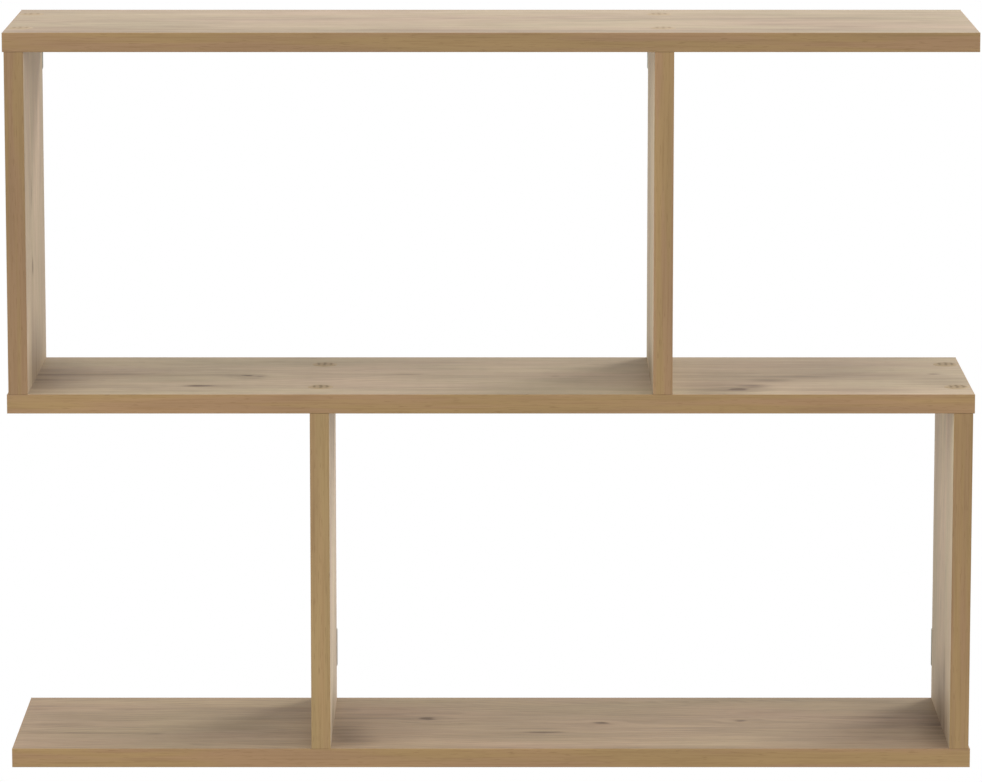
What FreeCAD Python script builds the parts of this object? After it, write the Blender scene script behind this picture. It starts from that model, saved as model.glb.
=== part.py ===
import FreeCAD, Part
import os
import Sketcher
from FreeCAD import Placement, Rotation, Vector

# An open wall shelf: three shelves, four uprights, screwed joints, and a keyhole hanger
# let into the back edge of each upright.
# X runs along the shelves, the front faces -Y and Z is up. The origin is the middle of the
# middle shelf's back edge, on the plane of the wall.

# Driving sizes in millimetres, each with its own name.
SIZES = {
    # Boards, and where they stand
    "shelf_length": "902",
    "shelf_depth": "220",
    "board_thickness": "18",
    "bay_height": "320",
    "closed_bay_width": "582.5",
    "shelf_overhang": "1.5",
    "band_thickness": "1",
    "band_arris_radius": "0.8",
    # Panel screws that join the shelves to the ends of the uprights
    "screw_edge_distance": "44",
    "screw_length": "50",
    "screw_head_diameter": "10",
    "screw_shank_diameter": "5",
    "screw_socket_width": "4",
    "screw_socket_depth": "3.2",
    "screw_head_sink": "0.3",
    "screw_clearance": "0.1",
    "pilot_end_clearance": "2",
    # Round covers stuck over the screw heads
    "cover_diameter": "24",
    "cover_thickness": "0.5",
    # Keyhole hangers on the back edges of the uprights
    "hanger_length": "40",
    "hanger_width": "19.6",
    "hanger_thickness": "2",
    "hanger_corner_radius": "3",
    "hanger_clearance": "0.1",
    "lower_hanger_rise": "31",
    "keyhole_entry_diameter": "9",
    "keyhole_slot_width": "4.6",
    "keyhole_entry_drop": "4.5",
    "keyhole_slot_rise": "5",
    "head_pocket_width": "12",
    "head_pocket_depth": "9",
    # Small countersunk screws that hold the hangers
    "fixing_end_distance": "4.5",
    "fixing_length": "16",
    "fixing_head_diameter": "6.8",
    "fixing_shank_diameter": "3.5",
    "fixing_head_sink": "0.1",
    "fixing_clearance": "0.1",
    "fixing_pilot_end_clearance": "1",
}

# Heights of the undersides of the shelves, and of the feet of the uprights
HALF_BOARD = "sizes.board_thickness / 2"
MIDDLE_SHELF_LEVEL = f"(0 - {HALF_BOARD})"
TOP_SHELF_LEVEL = f"({HALF_BOARD} + sizes.bay_height)"
BOTTOM_SHELF_LEVEL = f"(0 - {HALF_BOARD} - sizes.bay_height - sizes.board_thickness)"
UPPER_FOOT_LEVEL = f"({HALF_BOARD})"
LOWER_FOOT_LEVEL = f"(0 - {HALF_BOARD} - sizes.bay_height)"

# Middles of the uprights along X: each storey is the other one turned by half a turn
OUTER_UPRIGHT = f"(sizes.shelf_length / 2 - sizes.shelf_overhang - {HALF_BOARD})"
INNER_UPRIGHT = f"({OUTER_UPRIGHT} - sizes.closed_bay_width - sizes.board_thickness)"
LOWER_RIGHT = OUTER_UPRIGHT
LOWER_LEFT = INNER_UPRIGHT
UPPER_LEFT = f"(0 - {OUTER_UPRIGHT})"
UPPER_RIGHT = f"(0 - {INNER_UPRIGHT})"

# Places of the screws along Y: the same distance from the back and from the front edge
BACK_SCREW = "(0 - sizes.screw_edge_distance)"
FRONT_SCREW = "(sizes.screw_edge_distance - sizes.shelf_depth)"

# The cores of the boards lie inside their bands
CORE_FRONT = "(sizes.band_thickness - sizes.shelf_depth)"
CORE_BACK = "(0 - sizes.band_thickness)"
CORE_HALF_LENGTH = "(sizes.shelf_length / 2 - sizes.band_thickness)"

# The covers at the ends of a shelf stand in line with the outer face of the upright, so that
# they don't run past the end of the shelf.
OUTER_COVER = "(sizes.shelf_length / 2 - sizes.shelf_overhang - sizes.cover_diameter / 2)"

# All screw heads and their seats are cones of 90 degrees, so a head sunk by some depth lies on a
# seat whose mouth is wider by twice that depth.
SEAT_ANGLE_DEGREES = 90
SCREW_BORE = "(sizes.screw_shank_diameter + 2 * sizes.screw_clearance)"
SCREW_SEAT_MOUTH = "(sizes.screw_head_diameter + 2 * sizes.screw_head_sink)"
FIXING_BORE = "(sizes.fixing_shank_diameter + 2 * sizes.fixing_clearance)"
FIXING_SEAT_MOUTH = "(sizes.fixing_head_diameter + 2 * sizes.fixing_head_sink)"
SCREW_PILOT_DEPTH = (
    "(sizes.screw_length + sizes.screw_head_sink + sizes.pilot_end_clearance"
    " - sizes.board_thickness)"
)

# Middles of the hangers above the feet of the uprights
UPPER_HANGER_RISE = "(sizes.bay_height - sizes.hanger_clearance - sizes.hanger_length / 2)"
LOWER_HANGER_RISE = "(sizes.lower_hanger_rise + sizes.hanger_length / 2)"
HANGER_HALF_RECESS = "(sizes.hanger_length / 2 + sizes.hanger_clearance)"
FIXING_OFFSET = "(sizes.hanger_length / 2 - sizes.fixing_end_distance)"

# Points nearer to each other than this, in millimetres, are one point
SAME_POINT = 1e-6

doc = FreeCAD.newDocument("wall_shelf")
sheet = doc.addObject("Spreadsheet::Sheet", "sizes")
for row, (alias, value) in enumerate(SIZES.items(), start=1):
    sheet.set(f"A{row}", alias)
    sheet.set(f"B{row}", value)
    sheet.setAlias(f"B{row}", alias)
doc.recompute()

# Every separate piece, or group of like fasteners, that the shelf is made of
parts = []


def value_of(expression):
    """The present value of an expression over the sheet's sizes."""
    return float(sheet.evalExpression(expression))


def new_body(name):
    """An empty body with a label of its own."""
    body = doc.addObject("PartDesign::Body", name)
    body.Label = name
    return body


def new_sketch(body, name, plane, lift="0"):
    """A sketch on one of the body's own planes, raised along the plane's normal by lift."""
    sketch = body.newObject("Sketcher::SketchObject", name)
    planes = {feature.Role: feature for feature in body.Origin.OriginFeatures}
    sketch.AttachmentSupport = [(planes[plane], "")]
    sketch.MapMode = "FlatFace"
    sketch.setExpression("AttachmentOffset.Base.z", lift)
    return sketch


def bind(sketch, constraint, name, expression):
    """Adds a dimension to the sketch and ties it to the sizes."""
    index = sketch.addConstraint(constraint)
    sketch.renameConstraint(index, name)
    sketch.setExpression(f"Constraints.{name}", expression)


def locate(sketch, geometry, point, x, y):
    """Ties a point of the sketch to its distances from the sketch's origin."""
    for axis, kind, expression in ((-2, "DistanceX", x), (-1, "DistanceY", y)):
        if expression == "0":
            sketch.addConstraint(Sketcher.Constraint("PointOnObject", geometry, point, axis))
        else:
            distance = Sketcher.Constraint(kind, -1, 1, geometry, point, value_of(expression))
            bind(sketch, distance, f"{kind}_{geometry}_{point}", expression)


def add_outline(sketch, points):
    """A closed outline of straight lines through points given as pairs of expressions."""
    corners = [Vector(value_of(x), value_of(y), 0) for x, y in points]
    following = corners[1:] + corners[:1]
    lines = [sketch.addGeometry(Part.LineSegment(a, b), False) for a, b in zip(corners, following)]
    for line, successor in zip(lines, lines[1:] + lines[:1]):
        sketch.addConstraint(Sketcher.Constraint("Coincident", line, 2, successor, 1))
    for line, (x, y) in zip(lines, points):
        locate(sketch, line, 1, x, y)


def add_rectangle(sketch, left, right, low, high):
    """A rectangle between two distances along each axis of the sketch."""
    add_outline(sketch, [(left, low), (right, low), (right, high), (left, high)])


def add_circles(sketch, centres, diameter):
    """Circles of one diameter at the given centres."""
    for x, y in centres:
        centre = Vector(value_of(x), value_of(y), 0)
        shape = Part.Circle(centre, Vector(0, 0, 1), value_of(diameter) / 2)
        circle = sketch.addGeometry(shape, False)
        size = Sketcher.Constraint("Diameter", circle, value_of(diameter))
        bind(sketch, size, f"diameter_{circle}", diameter)
        locate(sketch, circle, 3, x, y)


def add_slot(sketch, low, high, width):
    """An upright slot with round ends, whose arcs are centred at two heights, low and high."""
    bottom, top, radius = value_of(low), value_of(high), value_of(width) / 2
    ends = [Vector(radius, top), Vector(-radius, top), Vector(-radius, bottom), Vector(radius, bottom)]
    upper = Part.Arc(ends[0], Vector(0, top + radius), ends[1])
    lower = Part.Arc(ends[2], Vector(0, bottom - radius), ends[3])
    shapes = [upper, Part.LineSegment(ends[1], ends[2]), lower, Part.LineSegment(ends[3], ends[0])]
    upper_arc, left_side, lower_arc, right_side = (sketch.addGeometry(s, False) for s in shapes)
    # Each arc runs from its right end to its left end or back, counter-clockwise.
    sketch.addConstraint(Sketcher.Constraint("Tangent", upper_arc, 2, left_side, 1))
    sketch.addConstraint(Sketcher.Constraint("Tangent", left_side, 2, lower_arc, 1))
    sketch.addConstraint(Sketcher.Constraint("Tangent", lower_arc, 2, right_side, 1))
    sketch.addConstraint(Sketcher.Constraint("Tangent", right_side, 2, upper_arc, 1))
    sketch.addConstraint(Sketcher.Constraint("Equal", upper_arc, lower_arc))
    locate(sketch, upper_arc, 3, "0", high)
    locate(sketch, lower_arc, 3, "0", low)
    bind(sketch, Sketcher.Constraint("Radius", upper_arc, radius), "end_radius", f"({width}) / 2")


def pad(body, sketch, length):
    """Thickens the sketch along its normal."""
    feature = body.newObject("PartDesign::Pad", sketch.Name + "_pad")
    feature.Profile = sketch
    feature.setExpression("Length", length)
    return feature


def pocket(body, sketch, depth, along_normal=False):
    """Cuts the sketch out of the body to a depth, against its normal or along it."""
    feature = body.newObject("PartDesign::Pocket", sketch.Name + "_cut")
    feature.Profile = sketch
    feature.Reversed = along_normal
    feature.setExpression("Length", depth)


def countersunk_holes(body, sketch, bore, mouth, along_normal=False):
    """Drills through holes at the sketch's circles, each with a conical seat at its mouth."""
    doc.recompute()
    feature = body.newObject("PartDesign::Hole", sketch.Name + "_drilled")
    feature.Profile = sketch
    doc.recompute()
    feature.Reversed = along_normal
    feature.ThreadType = "None"
    feature.setExpression("Diameter", bore)
    feature.DepthType = "ThroughAll"
    feature.HoleCutType = "Countersink"
    feature.HoleCutCustomValues = True
    feature.setExpression("HoleCutDiameter", mouth)
    feature.HoleCutCountersinkAngle = SEAT_ANGLE_DEGREES


def revolve(body, sketch):
    """Turns a half profile about the sketch's upright axis."""
    feature = body.newObject("PartDesign::Revolution", sketch.Name + "_turned")
    feature.Profile = sketch
    feature.ReferenceAxis = (sketch, ["V_Axis"])
    feature.Angle = 360


def round_edges(body, feature, chosen, radius):
    """Rounds those edges of the feature for which chosen, a function of an edge, is true."""
    doc.recompute()
    names = [f"Edge{n}" for n, edge in enumerate(feature.Shape.Edges, start=1) if chosen(edge)]
    rounding = body.newObject("PartDesign::Fillet", feature.Name + "_rounded")
    rounding.Base = (feature, names)
    rounding.setExpression("Radius", radius)


def place(piece, x="0", y="0", z="0", turn=Rotation()):
    """Turns the piece and ties its place to the sizes."""
    piece.Placement = Placement(Vector(), turn)
    for axis, expression in (("x", x), ("y", y), ("z", z)):
        piece.setExpression(f"Placement.Base.{axis}", expression)


def runs_along(edge, axis):
    """Whether a straight edge runs along the given axis."""
    direction = edge.Vertexes[-1].Point - edge.Vertexes[0].Point
    return direction.Length > 0 and direction.cross(axis).Length < SAME_POINT


# Shelves

def make_shelf(name, level, screws_down, screws_up):
    """One shelf's core, bored for the screws that go down through it and up through it."""
    body = new_body(name)
    outline = new_sketch(body, name + "_outline", "XY_Plane")
    add_rectangle(outline, f"0 - {CORE_HALF_LENGTH}", CORE_HALF_LENGTH, CORE_FRONT, CORE_BACK)
    pad(body, outline, "sizes.board_thickness")
    for columns, side, face in (
        (screws_down, "top", "sizes.board_thickness"),
        (screws_up, "underside", "0"),
    ):
        if columns:
            bores = new_sketch(body, f"{name}_{side}_bores", "XY_Plane", face)
            centres = [(x, y) for x in columns for y in (FRONT_SCREW, BACK_SCREW)]
            add_circles(bores, centres, SCREW_BORE)
            from_below = side == "underside"
            countersunk_holes(body, bores, SCREW_BORE, SCREW_SEAT_MOUTH, along_normal=from_below)
    place(body, z=level)
    parts.append(body)


make_shelf("top_shelf_board", TOP_SHELF_LEVEL, (UPPER_LEFT, UPPER_RIGHT), ())
make_shelf(
    "middle_shelf_board", MIDDLE_SHELF_LEVEL, (LOWER_LEFT, LOWER_RIGHT), (UPPER_LEFT, UPPER_RIGHT)
)
make_shelf("bottom_shelf_board", BOTTOM_SHELF_LEVEL, (), (LOWER_LEFT, LOWER_RIGHT))


# Uprights

def make_upright(name, middle, foot, hanger_rise):
    """One upright's core: pilot bores in both ends and the seat of its hanger in the back edge."""
    body = new_body(name)
    outline = new_sketch(body, name + "_outline", "XY_Plane")
    add_rectangle(outline, f"0 - {HALF_BOARD}", HALF_BOARD, CORE_FRONT, CORE_BACK)
    pad(body, outline, "sizes.bay_height")
    for end, lift in (("head", "sizes.bay_height"), ("foot", "0")):
        pilots = new_sketch(body, f"{name}_{end}_pilots", "XY_Plane", lift)
        add_circles(pilots, [("0", FRONT_SCREW), ("0", BACK_SCREW)], SCREW_BORE)
        pocket(body, pilots, SCREW_PILOT_DEPTH, along_normal=end == "foot")
    # The XZ plane's normal points to the front, so these cuts run along it into the board.
    recess = new_sketch(body, name + "_recess", "XZ_Plane")
    low = f"({hanger_rise} - {HANGER_HALF_RECESS})"
    high = f"({hanger_rise} + {HANGER_HALF_RECESS})"
    add_rectangle(recess, "0 - sizes.board_thickness", "sizes.board_thickness", low, high)
    pocket(body, recess, "sizes.hanger_thickness", along_normal=True)
    head_pocket = new_sketch(body, name + "_head_pocket", "XZ_Plane")
    entry = f"({hanger_rise} - sizes.keyhole_entry_drop)"
    stop = f"({hanger_rise} + sizes.keyhole_slot_rise)"
    add_slot(head_pocket, entry, stop, "sizes.head_pocket_width")
    depth = "sizes.hanger_thickness + sizes.head_pocket_depth"
    pocket(body, head_pocket, depth, along_normal=True)
    fixings = new_sketch(body, name + "_fixing_pilots", "XZ_Plane")
    heights = (f"({hanger_rise} - {FIXING_OFFSET})", f"({hanger_rise} + {FIXING_OFFSET})")
    add_circles(fixings, [("0", height) for height in heights], FIXING_BORE)
    pocket(body, fixings, "sizes.fixing_length + sizes.fixing_pilot_end_clearance", along_normal=True)
    place(body, x=middle, z=foot)
    parts.append(body)


UPRIGHTS = {
    "upper_left_upright": (UPPER_LEFT, UPPER_FOOT_LEVEL, UPPER_HANGER_RISE),
    "upper_right_upright": (UPPER_RIGHT, UPPER_FOOT_LEVEL, UPPER_HANGER_RISE),
    "lower_left_upright": (LOWER_LEFT, LOWER_FOOT_LEVEL, LOWER_HANGER_RISE),
    "lower_right_upright": (LOWER_RIGHT, LOWER_FOOT_LEVEL, LOWER_HANGER_RISE),
}
for name, (middle, foot, hanger_rise) in UPRIGHTS.items():
    make_upright(name + "_board", middle, foot, hanger_rise)


# Edge bands

def make_band(name, half_width, height, rounded_axes):
    """A band whose outer face looks to the front, with its arrises rounded along some axes."""
    body = new_body(name)
    outline = new_sketch(body, name + "_outline", "XY_Plane")
    add_rectangle(outline, f"0 - {half_width}", half_width, "0", "sizes.band_thickness")
    strip = pad(body, outline, height)

    def is_outer_arris(edge):
        at_front = all(abs(vertex.Point.y) < SAME_POINT for vertex in edge.Vertexes)
        return at_front and any(runs_along(edge, axis) for axis in rounded_axes)

    round_edges(body, strip, is_outer_arris, "sizes.band_arris_radius")
    return body


ALONG, UP = Vector(1, 0, 0), Vector(0, 0, 1)
TO_BACK, TO_LEFT, TO_RIGHT = (Rotation(UP, degrees) for degrees in (180, -90, 90))
HALF_SHELF = "(sizes.shelf_length / 2)"
HALF_CORE_DEPTH = "(sizes.shelf_depth / 2 - sizes.band_thickness)"
for shelf, level in (
    ("top_shelf", TOP_SHELF_LEVEL),
    ("middle_shelf", MIDDLE_SHELF_LEVEL),
    ("bottom_shelf", BOTTOM_SHELF_LEVEL),
):
    thickness = "sizes.board_thickness"
    front = make_band(shelf + "_front_band", HALF_SHELF, thickness, (ALONG, UP))
    place(front, y="0 - sizes.shelf_depth", z=level)
    back = make_band(shelf + "_back_band", HALF_SHELF, thickness, (ALONG, UP))
    place(back, z=level, turn=TO_BACK)
    left = make_band(shelf + "_left_band", HALF_CORE_DEPTH, thickness, (ALONG,))
    place(left, x=f"0 - {HALF_SHELF}", y="0 - sizes.shelf_depth / 2", z=level, turn=TO_LEFT)
    right = make_band(shelf + "_right_band", HALF_CORE_DEPTH, thickness, (ALONG,))
    place(right, x=HALF_SHELF, y="0 - sizes.shelf_depth / 2", z=level, turn=TO_RIGHT)
    parts.extend((front, back, left, right))


def make_compound(name, pieces):
    """Several separate solids kept under one name."""
    group = doc.addObject("Part::Compound", name)
    group.Label = name
    group.Links = pieces
    parts.append(group)


for name, (middle, foot, hanger_rise) in UPRIGHTS.items():
    front = make_band(name + "_front_band", HALF_BOARD, "sizes.bay_height", (UP,))
    place(front, x=middle, y="0 - sizes.shelf_depth", z=foot)
    parts.append(front)
    # The recess of the hanger cuts the back band: below it a strip stays, and above it
    # another one where the hanger isn't at the upright's head.
    below = f"({hanger_rise} - {HANGER_HALF_RECESS})"
    if hanger_rise == UPPER_HANGER_RISE:
        back = make_band(name + "_back_band", HALF_BOARD, below, (UP,))
        place(back, x=middle, z=foot, turn=TO_BACK)
        parts.append(back)
    else:
        lower_strip = make_band(name + "_back_strip_low", HALF_BOARD, below, (UP,))
        place(lower_strip, x=middle, z=foot, turn=TO_BACK)
        above = f"({hanger_rise} + {HANGER_HALF_RECESS})"
        rest = f"sizes.bay_height - {above}"
        upper_strip = make_band(name + "_back_strip_high", HALF_BOARD, rest, (UP,))
        place(upper_strip, x=middle, z=f"{foot} + {above}", turn=TO_BACK)
        make_compound(name + "_back_band", [lower_strip, upper_strip])


# Panel screws and their covers

def make_countersunk_screw(name, kind):
    """A screw of one kind that points down, with the top of its countersunk head at the origin."""
    body = new_body(name)
    profile = new_sketch(body, name + "_profile", "XZ_Plane")
    head, shank = f"sizes.{kind}_head_diameter / 2", f"sizes.{kind}_shank_diameter / 2"
    tip = f"0 - sizes.{kind}_length"
    add_outline(profile, [
        ("0", "0"), (head, "0"), (shank, f"{shank} - {head}"), (shank, tip), ("0", tip)
    ])
    revolve(body, profile)
    return body


def make_panel_screw():
    """A panel screw with a hexagon socket in its head."""
    body = make_countersunk_screw("panel_screw", "screw")
    socket = new_sketch(body, "panel_screw_socket", "XY_Plane")
    flat, corner = "(sizes.screw_socket_width / 2)", "(sizes.screw_socket_width / sqrt(3))"
    add_outline(socket, [
        (corner, "0"),
        (f"{corner} / 2", flat),
        (f"0 - {corner} / 2", flat),
        (f"0 - {corner}", "0"),
        (f"0 - {corner} / 2", f"0 - {flat}"),
        (f"{corner} / 2", f"0 - {flat}"),
    ])
    pocket(body, socket, "sizes.screw_socket_depth")
    return body


def make_cover():
    """A thin round cover, cut from foil, that lies on the board at the origin."""
    body = new_body("screw_cover")
    disc = new_sketch(body, "screw_cover_disc", "XY_Plane")
    add_circles(disc, [("0", "0")], "sizes.cover_diameter")
    pad(body, disc, "sizes.cover_thickness")
    return body


def make_group(name, master, places):
    """Copies of one fastener at the given places, as separate solids under one name."""
    copies = []
    for number, (x, y, z, turn) in enumerate(places, start=1):
        copy = doc.addObject("App::Link", f"{name}_{number}")
        copy.LinkedObject = master
        place(copy, x, y, z, turn)
        copies.append(copy)
    make_compound(name, copies)


UPRIGHT_WAY, HEAD_DOWN = Rotation(), Rotation(ALONG, 180)
panel_screw = make_panel_screw()
screw_cover = make_cover()
UPPER_SCREWS, LOWER_SCREWS = (UPPER_LEFT, UPPER_RIGHT), (LOWER_LEFT, LOWER_RIGHT)
UPPER_COVERS, LOWER_COVERS = (f"0 - {OUTER_COVER}", UPPER_RIGHT), (LOWER_LEFT, OUTER_COVER)
for shelf, level, side, columns, cover_columns in (
    ("top_shelf", TOP_SHELF_LEVEL, "top", UPPER_SCREWS, UPPER_COVERS),
    ("middle_shelf", MIDDLE_SHELF_LEVEL, "top", LOWER_SCREWS, LOWER_COVERS),
    ("middle_shelf", MIDDLE_SHELF_LEVEL, "underside", UPPER_SCREWS, UPPER_COVERS),
    ("bottom_shelf", BOTTOM_SHELF_LEVEL, "underside", LOWER_SCREWS, LOWER_COVERS),
):
    if side == "top":
        face, turn = f"{level} + sizes.board_thickness", UPRIGHT_WAY
        head_level = f"{face} - sizes.screw_head_sink"
    else:
        face, turn = level, HEAD_DOWN
        head_level = f"{face} + sizes.screw_head_sink"
    rows = (FRONT_SCREW, BACK_SCREW)
    screw_spots = [(x, y, head_level, turn) for x in columns for y in rows]
    cover_spots = [(x, y, face, turn) for x in cover_columns for y in rows]
    make_group(f"{shelf}_{side}_screws", panel_screw, screw_spots)
    make_group(f"{shelf}_{side}_covers", screw_cover, cover_spots)


# Keyhole hangers and their fixing screws

def make_hanger():
    """A steel plate with a keyhole, its rear face on the wall's plane and its middle at the origin."""
    body = new_body("hanger")
    outline = new_sketch(body, "hanger_outline", "XZ_Plane")
    half_width, half_length = "(sizes.hanger_width / 2)", "(sizes.hanger_length / 2)"
    add_rectangle(outline, f"0 - {half_width}", half_width, f"0 - {half_length}", half_length)
    plate = pad(body, outline, "sizes.hanger_thickness")
    through = Vector(0, 1, 0)
    round_edges(
        body, plate, lambda edge: runs_along(edge, through), "sizes.hanger_corner_radius"
    )
    # The screw's head goes in at the round entry, and its neck slides up the narrow slot.
    entry = new_sketch(body, "hanger_entry", "XZ_Plane")
    add_circles(entry, [("0", "0 - sizes.keyhole_entry_drop")], "sizes.keyhole_entry_diameter")
    pocket(body, entry, "sizes.hanger_thickness", along_normal=True)
    slot = new_sketch(body, "hanger_slot", "XZ_Plane")
    add_slot(slot, "0 - sizes.keyhole_entry_drop", "sizes.keyhole_slot_rise", "sizes.keyhole_slot_width")
    pocket(body, slot, "sizes.hanger_thickness", along_normal=True)
    fixings = new_sketch(body, "hanger_fixings", "XZ_Plane")
    add_circles(fixings, [("0", f"0 - {FIXING_OFFSET}"), ("0", FIXING_OFFSET)], FIXING_BORE)
    countersunk_holes(body, fixings, FIXING_BORE, FIXING_SEAT_MOUTH, along_normal=True)
    return body


INTO_BACK_EDGE = Rotation(ALONG, -90)
hanger_spots, fixing_spots = [], []
for middle, foot, hanger_rise in UPRIGHTS.values():
    height = f"({foot} + {hanger_rise})"
    hanger_spots.append((middle, "0", height, UPRIGHT_WAY))
    for offset in (f"{height} - {FIXING_OFFSET}", f"{height} + {FIXING_OFFSET}"):
        fixing_spots.append((middle, "0 - sizes.fixing_head_sink", offset, INTO_BACK_EDGE))
make_group("hangers", make_hanger(), hanger_spots)
make_group("hanger_screws", make_countersunk_screw("hanger_screw", "fixing"), fixing_spots)


# Checks, then one file for each piece

doc.recompute()
for item in doc.Objects:
    if "Invalid" in item.State or "Error" in item.State:
        raise RuntimeError(f"{item.Label} failed: {item.State}")
    if item.TypeId in ("PartDesign::Pocket", "PartDesign::Hole"):
        if item.Shape.Volume >= item.BaseFeature.Shape.Volume:
            raise RuntimeError(f"{item.Label} cuts nothing")
for part in parts:
    if part.Shape.isNull() or not part.Shape.isValid():
        raise RuntimeError(f"{part.Label} has no valid shape")

os.makedirs("parts", exist_ok=True)
for part in parts:
    part.Shape.exportStep(f"parts/{part.Label}.step")
print(len(parts), "pieces written")
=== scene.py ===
"""Looks of an open wall shelf in oak decor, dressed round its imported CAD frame.

The boards, bands and steel parts keep their CAD shapes and get the finishes of the real ones.
The screw covers and the small hanger screws are made here, with the detail that they have in
the hand. Lengths in the classes are in millimetres, as on a maker's drawing, and become metres
where a mesh or a pattern is made.
"""

import logging
import math
from dataclasses import dataclass
from enum import Enum

import bpy
import numpy as np
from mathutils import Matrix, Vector


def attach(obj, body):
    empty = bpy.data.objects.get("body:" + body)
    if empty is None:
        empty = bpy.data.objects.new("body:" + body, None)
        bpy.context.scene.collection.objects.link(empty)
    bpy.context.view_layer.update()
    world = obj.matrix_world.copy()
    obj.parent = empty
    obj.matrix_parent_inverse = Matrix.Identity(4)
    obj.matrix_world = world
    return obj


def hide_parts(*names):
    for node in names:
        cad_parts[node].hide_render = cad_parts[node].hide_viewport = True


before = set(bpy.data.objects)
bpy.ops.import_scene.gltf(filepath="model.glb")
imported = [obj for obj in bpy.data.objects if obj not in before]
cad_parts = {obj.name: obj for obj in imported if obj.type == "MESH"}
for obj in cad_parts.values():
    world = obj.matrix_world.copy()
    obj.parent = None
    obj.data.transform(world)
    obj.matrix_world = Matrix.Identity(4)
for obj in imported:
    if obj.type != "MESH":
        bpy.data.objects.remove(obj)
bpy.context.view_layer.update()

log = logging.getLogger("wall_shelf")
MM = 0.001
ROOT = "root"

Tree = bpy.types.NodeTree
Node = bpy.types.Node
Socket = bpy.types.NodeSocket
Triple = tuple[float, float, float]
Skin = tuple[np.ndarray, np.ndarray, np.ndarray]
NOISE_SPAN = {"From Min": 0.3, "From Max": 0.7}  # nearly all of a noise's values lie in it
SMOOTH = {"interpolation_type": "SMOOTHSTEP"}


# -------------------- colour, nodes and meshes


def linear(code: str) -> tuple[float, float, float, float]:
    """Turns an sRGB hex colour into the linear colour of a shader socket.

    Each channel is divided by 12.92 up to 0.04045, and above that it is
    ((c + 0.055) / 1.055) raised to 2.4.

    Args:
        code: The colour as "#rrggbb".

    Returns:
        Linear red, green and blue, with an alpha of 1.
    """
    channels = np.array([int(code[i : i + 2], 16) for i in (1, 3, 5)]) / 255
    low = channels / 12.92
    high = ((channels + 0.055) / 1.055) ** 2.4
    red, green, blue = np.where(channels <= 0.04045, low, high).tolist()
    return red, green, blue, 1.0


def per_mm(along: float, across: float, through: float) -> Triple:
    """The scale at which one unit of a pattern is this long in each direction.

    Args:
        along: Length of one unit of the pattern along the grain, in mm.
        across: Its width across the grain, in mm.
        through: Its depth into the face, in mm.

    Returns:
        Units per metre in the three directions.
    """
    return 1 / (along * MM), 1 / (across * MM), 1 / (through * MM)


def add_node(tree: Tree, kind: str, inputs: dict | None = None, **settings: object) -> Node:
    """Adds a node, with its settings, and sets or links its inputs.

    Args:
        tree: The node tree that gets the node.
        kind: Blender's name for the kind of node, without the ShaderNode before it.
        inputs: Input name or number, and what feeds it: a value, an output, or a node, which
            feeds it from its first output. A Mix node's two colours are its inputs 6 and
            7, and their mix is its output 2.
        **settings: Properties of the node itself.

    Returns:
        The new node.
    """
    node = tree.nodes.new("ShaderNode" + kind)
    for key, value in settings.items():
        setattr(node, key, value)
    for key, value in (inputs or {}).items():
        source = value.outputs[0] if isinstance(value, Node) else value
        if isinstance(source, Socket):
            tree.links.new(source, node.inputs[key])
        else:
            node.inputs[key].default_value = source
    return node


def new_material(name: str) -> tuple[bpy.types.Material, Tree]:
    """Makes an empty material.

    Args:
        name: The material's name, after the real finish.

    Returns:
        The material and its node tree.
    """
    material = bpy.data.materials.new(name)
    material.use_nodes = True
    material.node_tree.nodes.clear()
    return material, material.node_tree


def layered(tree: Tree, place: Node | Socket, sizes: dict[str, tuple]) -> dict[str, Node]:
    """Lays patterns over a finish, each from its size on the real one.

    Args:
        tree: The material's node tree.
        place: The place on the piece.
        sizes: By name, the length of one unit in each of the three directions, in mm, and
            how many octaves the pattern has.

    Returns:
        The patterns by name, each round 0.5.
    """
    made = {}
    for name, (along, across, through, octaves) in sizes.items():
        scale = per_mm(along, across, through)
        scaled = add_node(tree, "VectorMath", {0: place, 1: scale}, operation="MULTIPLY")
        made[name] = add_node(tree, "TexNoise", {"Vector": scaled, "Scale": 1.0, "Detail": octaves})
    return made


def turned_skin(rings: np.ndarray, start: np.ndarray, end: np.ndarray) -> Skin:
    """Closes a grid of rings into a skin with one point at each end, facing outwards.

    Vertex 0 is the start, the rings follow row by row, and the last vertex is the end. A quad
    joins steps s and s + 1 of rows r and r + 1, with the steps counted round the ring. The
    signed volume is the sum over fans of a . (b x c) / 6. Where it is below zero the faces
    point in, and all of them are turned round.

    Args:
        rings: Points of the rings, rows by steps by 3.
        start: The point that closes the first ring.
        end: The point that closes the last ring.

    Returns:
        All vertices, the triangles at both ends, and the quads between the rings.
    """
    rows, steps = rings.shape[:2]
    vertices = np.vstack([start[None], rings.reshape(-1, 3), end[None]])
    number = 1 + np.arange(rows * steps).reshape(rows, steps)
    after = np.roll(number, -1, axis=1)
    quads = np.stack([number[:-1], after[:-1], after[1:], number[1:]], axis=-1).reshape(-1, 4)
    first = np.stack([np.zeros(steps, int), after[0], number[0]], axis=-1)
    last = np.stack([np.full(steps, len(vertices) - 1), number[-1], after[-1]], axis=-1)
    ends = np.concatenate([first, last])
    fans = np.concatenate([ends, quads[:, :3], quads[:, [0, 2, 3]]])
    a, b, c = (vertices[fans[:, corner]] for corner in range(3))
    if np.einsum("ij,ij->i", a, np.cross(b, c)).sum() / 6 < 0:
        ends, quads = ends[:, ::-1], quads[:, ::-1]
    return vertices, ends, quads


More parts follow.
